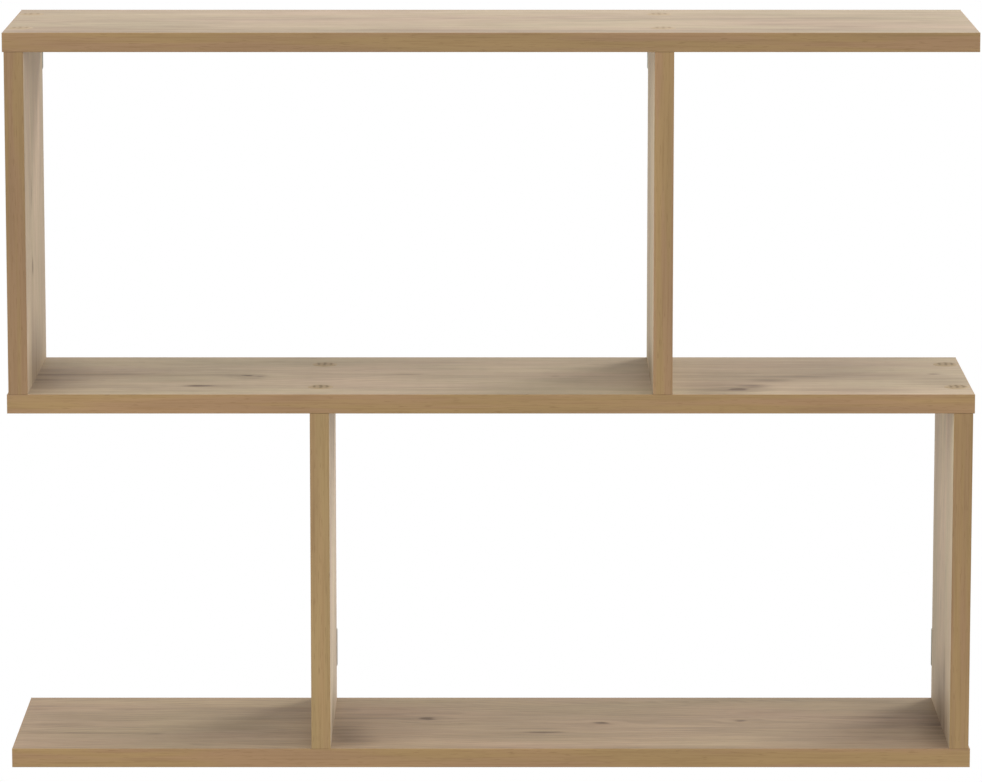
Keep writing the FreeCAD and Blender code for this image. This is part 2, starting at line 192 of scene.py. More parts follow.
def copies_mesh(name: str, skin: Skin, places: np.ndarray, crease_degrees: float) -> bpy.types.Mesh:
    """Makes one mesh of equal pieces that stand at several places.

    Args:
        name: The mesh's name.
        skin: Vertices of one piece, round its own middle, in mm, its triangles and its quads.
        places: Middles of the pieces, in mm.
        crease_degrees: Edges that turn by more than this stay sharp.

    Returns:
        The mesh in metres, with each vertex's place on its own piece as an attribute.
    """
    vertices, triangles, quads = skin
    every = (vertices[None] + places[:, None]).reshape(-1, 3) * MM
    first = len(vertices) * np.arange(len(places))[:, None, None]
    faces = (first + triangles).reshape(-1, 3).tolist() + (first + quads).reshape(-1, 4).tolist()
    mesh = bpy.data.meshes.new(name)
    mesh.from_pydata(every.tolist(), [], faces)
    own = mesh.attributes.new("own_place", "FLOAT_VECTOR", "POINT")
    own.data.foreach_set("vector", (np.tile(vertices, (len(places), 1)) * MM).ravel())
    mesh.polygons.foreach_set("use_smooth", np.ones(len(mesh.polygons), bool))
    mesh.set_sharp_from_angle(angle=math.radians(crease_degrees))
    mesh.validate()
    mesh.update()
    return mesh


def put_in_scene(name: str, data: bpy.types.ID) -> bpy.types.Object:
    """Makes an object and links it to the scene.

    Args:
        name: The object's name.
        data: Its mesh, lamp or camera.

    Returns:
        The object, at the origin.
    """
    made = bpy.data.objects.new(name, data)
    bpy.context.scene.collection.objects.link(made)
    return made


def face_towards(what: bpy.types.Object, place: Triple, aim: Triple) -> None:
    """Sets a lamp or the camera at a place and turns it to a point.

    Args:
        what: The lamp or camera.
        place: Where it stands, in mm.
        aim: The point that it faces, in mm.
    """
    what.location = Vector(place) * MM
    what.rotation_mode = "QUATERNION"
    what.rotation_quaternion = (Vector(aim) * MM - what.location).to_track_quat("-Z", "Y")


# -------------------- finishes


class Grain(Enum):
    """How the grain lies on a face: the axes along it, across it and into the face."""

    SHELF_FACE = "XYZ"
    UPRIGHT_FACE = "ZYX"
    SHELF_FRONT = "XZY"
    SHELF_END = "YZX"
    UPRIGHT_FRONT = "ZXY"


def grain_axes(tree: Tree, grain: Grain) -> tuple[Node, list[Socket]]:
    """Turns the object's own coordinates the way that the grain runs.

    Args:
        tree: The material's node tree.
        grain: How the grain lies.

    Returns:
        The place along the grain, across it and into the face, and its three coordinates.
    """
    split = add_node(tree, "SeparateXYZ", {0: add_node(tree, "TexCoord").outputs["Object"]})
    axes = [split.outputs[axis] for axis in grain.value]
    return add_node(tree, "CombineXYZ", dict(enumerate(axes))), axes


@dataclass(frozen=True)
class Mark:
    """A knot, crack or patch of the print, or a patch of painted shade or light, on the board's marked
    face, in mm.
    """

    along: float  # place along the grain: along a shelf from its middle, or height
    depth: float  # place across the grain, from the wall
    half_length: float
    half_width: float
    # Painted shade has a darkness above 0, and painted light one below 0.
    darkness: float  # 1 is the full colour of a knot, below 0 it is paler
    bend: float = 0.0  # how much the grain runs round it


@dataclass(frozen=True)
class OakDecorBoard:
    """Chipboard faced with melamine paper that is printed as rustic oak.

    The paper is pressed in a plate with shallow pores, so it is matt, with a weak sheen along
    the fibres and dull dots in the pores. In the eye it is a greyish beige with pinkish and
    greenish fields, soft dark streaks and a few small knots. Cut faces inside the recesses
    show the chips. Light and shade are painted on it too: each board is drawn lighter or
    darker for the light that falls on it, with patches of painted shade at the uprights' feet
    and patches of painted light where shadows fall.
    """

    name: str
    grain: Grain
    middle: float  # middle of the board's thickness, on the axis through it
    marks: tuple[Mark, ...]
    print_and_light: Triple  # painted light and shade: how much lighter or darker the board is drawn for the light on it, and its print's tone
    marked_side: float = 1.0  # the face with the marks: 1 is a top or right face, -1 a left one
    mark_reach: float = 3.0  # how far the marks reach through the face
    half_thickness: float = 9.0
    pinkish: str = "#b29b82"
    greenish: str = "#ae9c7f"
    # Knots are this colour, and the patches of painted shade are mixed towards it too.
    knot_and_shade: str = "#5f4a35"
    chip_pale: str = "#c9ae86"
    chip_dark: str = "#8d6f4a"
    chip: Triple = (2.5, 1.0, 1.0)  # size of a chip
    knot_field: tuple[float, float] = (360.0, 130.0)  # field with at most one scattered knot
    knot_half: tuple[float, float] = (6.0, 3.0)  # half the size of a scattered knot
    lift: float = 20.0  # the faces lie 18 mm apart, and this sets their patterns well apart
    ring: float = 6.5  # thickness of an annual ring
    pith_beside: float = 34.0  # how far beside the pith the saw passed
    taper: float = 0.026  # how much thinner the tree gets, per length
    waviness: float = 40.0  # full range of the rings' waves

    def material(self) -> bpy.types.Material:
        """Builds the board's material.

        Returns:
            The material.
        """
        material, tree = new_material(self.name)
        place, (along, across, through) = grain_axes(tree, self.grain)
        lifted = add_node(tree, "Math", {0: through, 1: self.lift}, operation="MULTIPLY")
        bent, darkness = self._marked(tree, place, across, lifted)
        layers = self._layers(tree, add_node(tree, "CombineXYZ", {0: along, 1: bent, 2: lifted}))
        colour = self._printed_colour(tree, layers, darkness)

        # Only the two broad faces have paper. What lies deeper, in a recess or bore, is chip.
        face_depth = (self.half_thickness - 0.05) * MM
        off = add_node(tree, "Math", {0: through, 1: self.middle * MM}, operation="SUBTRACT")
        depth = add_node(tree, "Math", {0: off}, operation="ABSOLUTE")
        paper = add_node(tree, "Math", {0: depth, 1: face_depth}, operation="GREATER_THAN")
        flakes = add_node(tree, "VectorMath", {0: place, 1: per_mm(*self.chip)}, operation="MULTIPLY")
        chips = add_node(tree, "TexVoronoi", {"Vector": flakes, "Scale": 1.0, "Randomness": 1.0})
        tint = add_node(tree, "SeparateColor", {0: chips.outputs["Color"]})
        dark, pale = linear(self.chip_dark), linear(self.chip_pale)
        chip = add_node(tree, "Mix", {0: tint, 6: dark, 7: pale}, data_type="RGBA")
        base = add_node(tree, "Mix", {0: paper, 6: chip.outputs[2], 7: colour}, data_type="RGBA")

        # At this strength the pores look 0.02 mm deep and the fibres a quarter of that.
        smooth = add_node(tree, "Math", {0: 1.0, 1: layers["pore"]}, operation="SUBTRACT")
        relief = add_node(
            tree, "Math", {0: layers["fibre"], 1: 0.25, 2: smooth}, operation="MULTIPLY_ADD"
        )
        bump = add_node(tree, "Bump", {"Strength": 0.35, "Distance": 0.06 * MM, "Height": relief})
        rough = add_node(
            tree, "MapRange", {"Value": layers["fibre"], **NOISE_SPAN, "To Min": 0.68, "To Max": 0.56}
        )
        shader = add_node(
            tree, "BsdfPrincipled",
            {"Base Color": base.outputs[2], "Roughness": rough, "Normal": bump,
             "IOR": 1.5, "Specular IOR Level": 0.25},
        )
        add_node(tree, "OutputMaterial", {"Surface": shader})
        return material

    def _marked(self, tree: Tree, place: Node, across: Socket, lifted: Node) -> tuple[Node, Node]:
        """Bends the grain round the knots and gathers the darkness of all marks.

        Near a knot the coordinate across the grain is drawn to the knot's own, v - (v - k) g,
        so the lines of the grain part and run round it.

        Args:
            tree: The material's node tree.
            place: The place on the board, along, across and into the face.
            across: The coordinate across the grain.
            lifted: The coordinate through the board, drawn apart.

        Returns:
            The bent coordinate across the grain, and the darkness of all marks.
        """
        # Knots and cracks have ragged edges. They waver over 25 by 5 mm, by about 5 mm along
        # the grain and 2 mm across it.
        waver = layered(tree, place, {"waver": (25.0, 5.0, 60.0, 2.0)})["waver"].outputs["Color"]
        centred = add_node(tree, "VectorMath", {0: waver, 1: (0.5, 0.5, 0.5)}, operation="SUBTRACT")
        ragged = add_node(
            tree, "VectorMath", {0: centred, 1: (20.0 * MM, 7.0 * MM, 0.0), 2: place},
            operation="MULTIPLY_ADD",
        )
        bent, darkness = self._scattered_knots(tree, place, ragged, across, lifted)
        face = self.middle + self.marked_side * self.half_thickness
        for mark in self.marks:
            scale = per_mm(mark.half_length, mark.half_width, self.mark_reach)
            middle = (mark.along, -mark.depth, face)
            offset = tuple(-m * MM * s for m, s in zip(middle, scale))
            apart = add_node(
                tree, "VectorMath", {0: ragged, 1: scale, 2: offset}, operation="MULTIPLY_ADD"
            )
            reach = add_node(tree, "VectorMath", {0: apart}, operation="LENGTH").outputs["Value"]
            strength = add_node(
                tree, "MapRange",
                {"Value": reach, "From Min": 1.0, "From Max": 0.0, "To Max": mark.darkness}, **SMOOTH,
            )
            darkness = add_node(tree, "Math", {0: darkness, 1: strength}, operation="ADD")
            if mark.bend:
                # The grain is disturbed about 4.5 times as far out as the knot is dark.
                pull = add_node(
                    tree, "MapRange",
                    {"Value": reach, "From Min": 4.5, "From Max": 0.0, "To Max": mark.bend}, **SMOOTH,
                )
                aside = add_node(tree, "Math", {0: across, 1: mark.depth * MM}, operation="ADD")
                drawn = add_node(tree, "Math", {0: aside, 1: pull}, operation="MULTIPLY")
                bent = add_node(tree, "Math", {0: bent, 1: drawn}, operation="SUBTRACT")
        return bent, darkness

    def _scattered_knots(
        self, tree: Tree, place: Node, ragged: Node, across: Socket, lifted: Node
    ) -> tuple[Node, Node]:
        """Scatters small knots of the printed oak, in two of five fields.

        Where marks are listed, that face has those instead.

        Args:
            tree: The material's node tree.
            place: The place on the board, along, across and into the face.
            ragged: The same, wavering.
            across: The coordinate across the grain.
            lifted: The coordinate through the board, drawn apart.

        Returns:
            The bent coordinate across the grain, and the knots' darkness.
        """
        length, width = self.knot_field
        scale = per_mm(length, width, 9.0)
        spread = add_node(tree, "VectorMath", {0: ragged, 1: scale}, operation="MULTIPLY")
        # Each face has fields of its own.
        shift = add_node(tree, "CombineXYZ", {0: lifted, 1: lifted})
        moved = add_node(
            tree, "VectorMath", {0: shift, 1: (1.7, 2.3, 0.0), 2: spread}, operation="MULTIPLY_ADD"
        )
        fields = add_node(
            tree, "TexVoronoi", {"Vector": moved, "Scale": 1.0, "Randomness": 0.8},
            voronoi_dimensions="2D",
        )
        from_knot = add_node(
            tree, "VectorMath", {0: moved, 1: fields.outputs["Position"]}, operation="SUBTRACT"
        )
        in_halves = (length / self.knot_half[0], width / self.knot_half[1], 0.0)
        aside = add_node(tree, "VectorMath", {0: from_knot, 1: in_halves}, operation="MULTIPLY")
        reach = add_node(tree, "VectorMath", {0: aside}, operation="LENGTH").outputs["Value"]
        # Fields without a knot count their distance from it 90 times over, and the other
        # knots differ in size.
        chance = add_node(tree, "SeparateColor", {0: fields.outputs["Color"]})
        absent = add_node(
            tree, "MapRange", {"Value": chance, "From Min": 0.58, "From Max": 0.62, "To Min": 90.0}
        )
        shrink = add_node(tree, "MapRange", {"Value": chance.outputs[1], "To Min": 0.8, "To Max": 2.0})
        sized = add_node(tree, "Math", {0: absent, 1: shrink}, operation="MULTIPLY")
        distance = add_node(tree, "Math", {0: reach, 1: sized}, operation="MULTIPLY")
        # A knot is dark to 1.7 times its half size and disturbs the grain to 7 times.
        core, pull = (
            add_node(
                tree, "MapRange", {"Value": distance, "From Min": rim, "From Max": inner, "To Max": most},
                **SMOOTH,
            )
            for rim, inner, most in ((1.7, 0.2, 0.8), (7.0, 0.0, 0.85))
        )
        if self.marks:
            other = "LESS_THAN" if self.marked_side > 0 else "GREATER_THAN"
            through = add_node(tree, "SeparateXYZ", {0: place}).outputs[2]
            unmarked = add_node(tree, "Math", {0: through, 1: self.middle * MM}, operation=other)
            core, pull = (
                add_node(tree, "Math", {0: value, 1: unmarked}, operation="MULTIPLY")
                for value in (core, pull)
            )
        beside = add_node(tree, "SeparateXYZ", {0: from_knot}).outputs[1]
        drawn = add_node(tree, "Math", {0: beside, 1: pull}, operation="MULTIPLY")
        bent = add_node(tree, "Math", {0: drawn, 1: -width * MM, 2: across}, operation="MULTIPLY_ADD")
        return bent, core

    def _layers(self, tree: Tree, ground: Node) -> dict[str, Node]:
        """Makes the printed oak's patterns, each from its size in the wood.

        Real fibres are 0.2 mm wide and would vanish, so they are drawn 1.4 mm wide.

        Args:
            tree: The material's node tree.
            ground: The place on the board with the grain bent round the knots.

        Returns:
            The patterns by name, mostly noise round 0.5.
        """
        sizes = {
            "tone": (620.0, 64.0, 60.0, 2.0),
            "blotch": (74.0, 26.0, 60.0, 3.0),
            "hue": (190.0, 60.0, 60.0, 1.0),
            "streak": (240.0, 11.0, 60.0, 3.0),
            "wave": (330.0, 55.0, 60.0, 2.0),
            "wander": (900.0, 900.0, 60.0, 1.0),
            "check": (120.0, 2.4, 60.0, 0.0),
            "fibre": (46.0, 1.4, 60.0, 2.0),
            "pore": (15.0, 0.9, 60.0, 0.0),
        }
        made = layered(tree, ground, sizes)
        made["ring"] = self._rings(tree, ground, made["wave"], made["wander"])
        # Pores and drying checks are where their noise is high.
        for name, low, high in (("pore", 0.62, 0.72), ("check", 0.66, 0.8)):
            made[name] = add_node(
                tree, "MapRange", {"Value": made[name], "From Min": low, "From Max": high}
            )
        return made

    def _rings(self, tree: Tree, ground: Node, wave: Node, wander: Node) -> Node:
        """Draws the annual rings as a flat-sawn board cuts them.

        The saw passes h beside the pith, so a point v across the board is
        r = sqrt((v - pith) ** 2 + h ** 2) from it. The tree tapers and waves, which gives
        arches along the middle and straight lines beside them. A ring starts pale and ends
        dark: with f the fraction of r / ring, its darkness is f ** 2.4 - f ** 14.

        Args:
            tree: The material's node tree.
            ground: The place on the board with the grain bent round the knots.
            wave: Noise that waves the rings.
            wander: Slow noise that moves the pith across the board.

        Returns:
            Darkness of the rings, from 0 to about 0.7.
        """
        split = add_node(tree, "SeparateXYZ", {0: ground})
        # The pith wanders by 150 mm to both sides of the board's middle line, at 110 mm.
        pith = add_node(tree, "Math", {0: wander, 1: 0.30, 2: -0.26}, operation="MULTIPLY_ADD")
        beside = add_node(tree, "Math", {0: split.outputs[1], 1: pith}, operation="SUBTRACT")
        squared = add_node(
            tree, "Math", {0: beside, 1: beside, 2: (self.pith_beside * MM) ** 2},
            operation="MULTIPLY_ADD",
        )
        radius = add_node(tree, "Math", {0: squared}, operation="SQRT")
        tapered = add_node(tree, "Math", {0: split, 1: self.taper, 2: radius}, operation="MULTIPLY_ADD")
        waved = add_node(
            tree, "Math", {0: wave, 1: self.waviness * MM, 2: tapered}, operation="MULTIPLY_ADD"
        )
        counted = add_node(tree, "Math", {0: waved, 1: 1 / (self.ring * MM)}, operation="MULTIPLY")
        part = add_node(tree, "Math", {0: counted}, operation="FRACT")
        rise, fall = (
            add_node(tree, "Math", {0: part, 1: power}, operation="POWER") for power in (2.4, 14.0)
        )
        return add_node(tree, "Math", {0: rise, 1: fall}, operation="SUBTRACT")

    def _printed_colour(self, tree: Tree, layers: dict[str, Node], darkness: Node) -> Socket:
        """Prints the layers over each other.

        Brightness is 1 plus each layer's share of its distance from its middle.

        Args:
            tree: The material's node tree.
            layers: The patterns by name.
            darkness: Darkness of the knots, cracks and patches, with painted shade and light among them.

        Returns:
            The colour of the paper.
        """
        hue = add_node(tree, "MapRange", {"Value": layers["hue"], **NOISE_SPAN})
        pinkish, greenish = linear(self.pinkish), linear(self.greenish)
        ground = add_node(tree, "Mix", {0: hue, 6: pinkish, 7: greenish}, data_type="RGBA")
        bright = 1.0
        for name, share, middle in (
            ("tone", 0.45, 0.5),
            ("blotch", 0.32, 0.5),
            ("streak", 0.28, 0.5),
            ("fibre", 0.15, 0.5),
            ("ring", -0.2, 0.2),
            ("pore", -0.14, 0.05),
            ("check", -0.22, 0.02),
        ):
            shifted = add_node(tree, "Math", {0: layers[name], 1: middle}, operation="SUBTRACT")
            bright = add_node(tree, "Math", {0: shifted, 1: share, 2: bright}, operation="MULTIPLY_ADD")
        # The board's own factors paint light and shade: it is drawn lighter or darker for the light that
        # falls on it, as well as for its print's tone.
        shaded = add_node(tree, "VectorMath", {0: ground.outputs[2], 1: self.print_and_light}, operation="MULTIPLY")
        toned = add_node(tree, "VectorMath", {0: shaded, "Scale": bright}, operation="SCALE")
        # The marks, the knots and stains as well as the painted shade and light, lie more in the dark
        # streaks than between them.
        uneven = add_node(tree, "Math", {0: layers["streak"], 1: -1.6, 2: 1.8}, operation="MULTIPLY_ADD")
        stain_and_shade = add_node(tree, "Math", {0: darkness, 1: uneven}, operation="MULTIPLY")
        share = add_node(tree, "Clamp", {"Value": stain_and_shade, "Min": -0.3, "Max": 1.0})
        return add_node(
            tree, "Mix", {0: share, 6: toned, 7: linear(self.knot_and_shade)}, data_type="RGBA", clamp_factor=False
        ).outputs[2]


@dataclass(frozen=True)
class OakEdgeBand:
    """A 1 mm edge band of printed oak, glued on hot and rounded with a cutter.

    It is browner than the boards, matt, with fine straight grain along it: lines about 2 mm
    apart, short dark pores, and fields that turn from yellowish to pinkish brown.
    """

    name: str
    grain: Grain
    tone: float = 1.0  # how pale this band is drawn, for its print and as painted light on the lower shelves
    yellowish: str = "#9b7e53"
    pinkish: str = "#9a7a57"
    line: str = "#7e613c"

    def material(self) -> bpy.types.Material:
        """Builds the band's material.

        Returns:
            The material.
        """
        material, tree = new_material(self.name)
        place, _ = grain_axes(tree, self.grain)
        # Real pores are about 0.3 mm wide and would vanish, so they are drawn 0.9 mm wide.
        sizes = {
            "field": (170.0, 9.0, 60.0, 1.0),
            "cloud": (240.0, 12.0, 60.0, 1.0),
            "line": (70.0, 1.7, 20.0, 2.0),
            "pore": (13.0, 0.9, 20.0, 0.0),
        }
        made = layered(tree, place, sizes)
        hue = add_node(
            tree, "MapRange", {"Value": made["field"], "From Min": 0.38, "From Max": 0.62}, **SMOOTH
        )
        yellowish, pinkish = linear(self.yellowish), linear(self.pinkish)
        ground = add_node(tree, "Mix", {0: hue, 6: yellowish, 7: pinkish}, data_type="RGBA")
        lines, pores = (
            add_node(
                tree, "MapRange", {"Value": made[name], "From Min": low, "From Max": high, "To Max": most}
            )
            for name, low, high, most in (("line", 0.48, 0.75, 0.42), ("pore", 0.66, 0.74, 0.45))
        )
        dark = add_node(tree, "Math", {0: lines, 1: pores}, operation="MAXIMUM")
        line = linear(self.line)
        lined = add_node(tree, "Mix", {0: dark, 6: ground.outputs[2], 7: line}, data_type="RGBA")
        # Brightness is the band's own tone, with a share of the clouds' distance from 0.5.
        share = 0.4
        bright = add_node(
            tree, "Math", {0: made["cloud"], 1: share, 2: self.tone - share / 2}, operation="MULTIPLY_ADD"
        )
        colour = add_node(tree, "VectorMath", {0: lined.outputs[2], "Scale": bright}, operation="SCALE")
        rough = add_node(
            tree, "MapRange", {"Value": made["line"], **NOISE_SPAN, "To Min": 0.48, "To Max": 0.6}
        )
        # At this strength the lines and pores look less than 0.01 mm deep.
        bump = add_node(
            tree, "Bump", {"Strength": 0.3, "Distance": 0.05 * MM, "Height": dark}, invert=True
        )
        shader = add_node(
            tree, "BsdfPrincipled",
            {"Base Color": colour, "Roughness": rough, "Normal": bump,
             "IOR": 1.5, "Specular IOR Level": 0.4},
        )
        add_node(tree, "OutputMaterial", {"Surface": shader})
        return material


@dataclass(frozen=True)
class OakScrewFoil:
    """The self-adhesive oak foil of the screw covers, printed and punched.

    It is matt. Its print is like the board's at the rim and darker and greener towards the
    middle, with three dark flecks side by side.
    """

    name: str
    strength: float = 1.0  # how much darker than the board the print is
    ground: str = "#a18c6c"
    fleck: str = "#6b5630"
    radius: float = 12.0
    fleck_places: tuple[float, ...] = (-6.0, 0.0, 6.2)
    fleck_half_width: float = 3.6
    fleck_darkness: float = 0.95
    between: float = 0.38  # darkness between the flecks
    wave: float = 5.0  # full range of the flecks' waves

    def material(self) -> bpy.types.Material:
        """Builds the foil's material, on each cover's own coordinates.

        Returns:
            The material.
        """
        material, tree = new_material(self.name)
        own = add_node(tree, "Attribute", attribute_name="own_place").outputs["Vector"]
        place = add_node(tree, "TexCoord").outputs["Object"]
        # The print waves over 9 by 6 mm, so no two covers are the same.
        waves = layered(tree, place, {"wave": (9.0, 6.0, 9.0, 2.0)})["wave"]
        split = add_node(tree, "SeparateXYZ", {0: own})
        centred = add_node(tree, "Math", {0: waves, 1: 0.5}, operation="SUBTRACT")
        waved = add_node(
            tree, "Math", {0: centred, 1: self.wave * MM, 2: split}, operation="MULTIPLY_ADD"
        )
        dark = self.between
        for middle in self.fleck_places:
            offset = add_node(tree, "Math", {0: waved, 1: middle * MM}, operation="SUBTRACT")
            away = add_node(tree, "Math", {0: offset}, operation="ABSOLUTE")
            rim = self.fleck_half_width * MM
            fleck = add_node(
                tree, "MapRange",
                {"Value": away, "From Min": rim, "From Max": 0.0, "To Max": self.fleck_darkness},
                **SMOOTH,
            )
            dark = add_node(tree, "Math", {0: fleck, 1: dark}, operation="MAXIMUM")
        # The darkness is full up to half the radius and falls off to nothing at the rim.
        away = add_node(tree, "VectorMath", {0: own}, operation="LENGTH").outputs["Value"]
        rim, inner = self.radius * MM, 0.5 * self.radius * MM
        fade = add_node(
            tree, "MapRange",
            {"Value": away, "From Min": rim, "From Max": inner, "To Max": self.strength}, **SMOOTH,
        )
        faded = add_node(tree, "Math", {0: dark, 1: fade}, operation="MULTIPLY")
        pale, deep = linear(self.ground), linear(self.fleck)
        colour = add_node(tree, "Mix", {0: faded, 6: pale, 7: deep}, data_type="RGBA")
        bump = add_node(tree, "Bump", {"Strength": 0.3, "Distance": 0.05 * MM, "Height": waves})
        shader = add_node(
            tree, "BsdfPrincipled",
            {"Base Color": colour.outputs[2], "Roughness": 0.62, "Normal": bump,
             "IOR": 1.5, "Specular IOR Level": 0.25},
        )
        add_node(tree, "OutputMaterial", {"Surface": shader})
        return material


@dataclass(frozen=True)
class ZincPlatedSteel:
    """Steel with a thin galvanic coat of zinc, stamped or rolled before plating.

    It is a light, slightly greenish grey, half matt, with a faint cloudiness and the fine
    lines of the rolled sheet.
    """

    name: str
    pale: str = "#c0c2bb"
    cloudy: str = "#a8aba3"

    def material(self) -> bpy.types.Material:
        """Builds the plated steel's material.

        Returns:
            The material.
        """
        material, tree = new_material(self.name)
        place = add_node(tree, "TexCoord").outputs["Object"]
        # Clouds of about 7 mm, and rolling lines 20 mm long. Real lines are about 0.1 mm apart
        # and would vanish, so they are drawn 0.6 mm apart.
        made = layered(tree, place, {"cloud": (7.0, 7.0, 7.0, 3.0), "line": (0.6, 0.6, 20.0, 1.0)})
        pale, cloudy = linear(self.pale), linear(self.cloudy)
        colour = add_node(tree, "Mix", {0: made["cloud"], 6: pale, 7: cloudy}, data_type="RGBA")
        rough = add_node(
            tree, "MapRange", {"Value": made["cloud"], **NOISE_SPAN, "To Min": 0.3, "To Max": 0.45}
        )
        bump = add_node(tree, "Bump", {"Strength": 0.2, "Distance": 0.02 * MM, "Height": made["line"]})
        shader = add_node(
            tree, "BsdfPrincipled",
            {"Base Color": colour.outputs[2], "Metallic": 1.0, "Roughness": rough, "Normal": bump},
        )
        add_node(tree, "OutputMaterial", {"Surface": shader})
        return material


# -------------------- sub-assemblies


def dress(node: str, material: bpy.types.Material) -> None:
    """Gives a CAD node its finish.

    Args:
        node: The node's name.
        material: The material for all of it.
    """
    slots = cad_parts[node].material_slots
    for slot in slots:
        slot.material = material
    if not slots:
        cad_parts[node].data.materials.append(material)
    log.info("%s: %s", node, material.name)


@dataclass
class Shelf:
    """One shelf board with the bands on its four edges."""

    name: str
    middle: float  # height of the board's middle
    marks: tuple[Mark, ...]
    # The board's factors and its bands' tone paint light and shade: they draw it lighter or darker for
    # the light on it, as well as for its print.
    print_and_light: Triple
    band_tone_and_light: float

    def build(self, end: bpy.types.Material) -> None:
        """Dresses the board and its bands.

        Args:
            end: Finish of the bands at its ends.
        """
        name = f"oak_decor_{self.name}_shelf"
        board = OakDecorBoard(name, Grain.SHELF_FACE, self.middle, self.marks, self.print_and_light)
        dress(f"{self.name}_shelf_board", board.material())
        band = OakEdgeBand(f"oak_edge_band_{self.name}_shelf", Grain.SHELF_FRONT, self.band_tone_and_light)
        along = band.material()
        for side, finish in (("front", along), ("back", along), ("left", end), ("right", end)):
            dress(f"{self.name}_shelf_{side}_band", finish)


@dataclass
class Upright:
    """One upright board with the bands on its front and back edge."""

    name: str
    middle: float  # place of the board's middle along the shelf
    marked_side: float
    marks: tuple[Mark, ...]
    # The board's factors and its bands' tone paint light and shade: they draw it lighter or darker for
    # the light on it, as well as for its print.
    print_and_light: Triple = (1.0, 1.0, 1.0)
    band_tone_and_light: float = 1.0
    band_hues: tuple[str, str] = (OakEdgeBand.yellowish, OakEdgeBand.pinkish)

    def build(self) -> None:
        """Dresses the board and its bands."""
        board = OakDecorBoard(
            f"oak_decor_{self.name}_upright", Grain.UPRIGHT_FACE, self.middle, self.marks, self.print_and_light,
            self.marked_side,
        )
        dress(f"{self.name}_upright_board", board.material())
        name = f"oak_edge_band_{self.name}"
        band = OakEdgeBand(name, Grain.UPRIGHT_FRONT, self.band_tone_and_light, *self.band_hues).material()
        for side in ("front", "back"):
            dress(f"{self.name}_upright_{side}_band", band)


@dataclass
class CoverRow:
    """Four round foil covers on one face of a shelf, over the heads of its screws."""

    shelf_face: str  # name of the shelf and of its face
    columns: tuple[float, float]  # places along the shelf
    height: float  # height of the face
    side: float  # 1 on a top face, -1 on an underside
    rows: tuple[float, float] = (-44.0, -176.0)
    radius: float = 12.0
    thickness: float = 0.5
    roundness: int = 10  # power by which the top rounds off towards the rim
    steps: int = 72
    crease_degrees: float = 50.0

    def build(self, material: bpy.types.Material) -> None:
        """Makes the four covers as punched discs with a rolled rim.

        From the middle out, the height is thickness * (1 - (r / radius) ** roundness) over a
        flat underside: level over most of the disc, and rounded off in its outer 2 mm.

        Args:
            material: The foil.
        """
        # The rings lie closer together where the top rounds off. The last four are the cut
        # edge, 0.02 mm high, and the underside.
        share = np.array([0.12, 0.4, 0.62, 0.78, 0.87, 0.93, 0.965, 0.985, 0.996])
        top = self.thickness * (1 - share**self.roundness)
        radii = np.concatenate([share, [1.0, 1.0, 0.97, 0.6]])[:, None] * self.radius
        heights = self.side * np.concatenate([top, [0.02, 0.01, 0.0, 0.0]])
        turn = np.linspace(0, 2 * math.pi, self.steps, endpoint=False)
        x, y = radii * np.cos(turn), radii * np.sin(turn)
        rings = np.stack([x, y, np.broadcast_to(heights[:, None], x.shape)], axis=-1)
        tip = np.array([0, 0, self.side * self.thickness])
        places = np.array([[along, row, self.height] for along in self.columns for row in self.rows])
        name = f"{self.shelf_face}_foil_covers"
        skin = turned_skin(rings, tip, np.zeros(3))
        piece = put_in_scene(name, copies_mesh(name, skin, places, self.crease_degrees))
        piece.data.materials.append(material)
        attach(piece, ROOT)
        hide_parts(f"{self.shelf_face}_covers")
        log.info("%s: four covers of %g mm", name, 2 * self.radius)


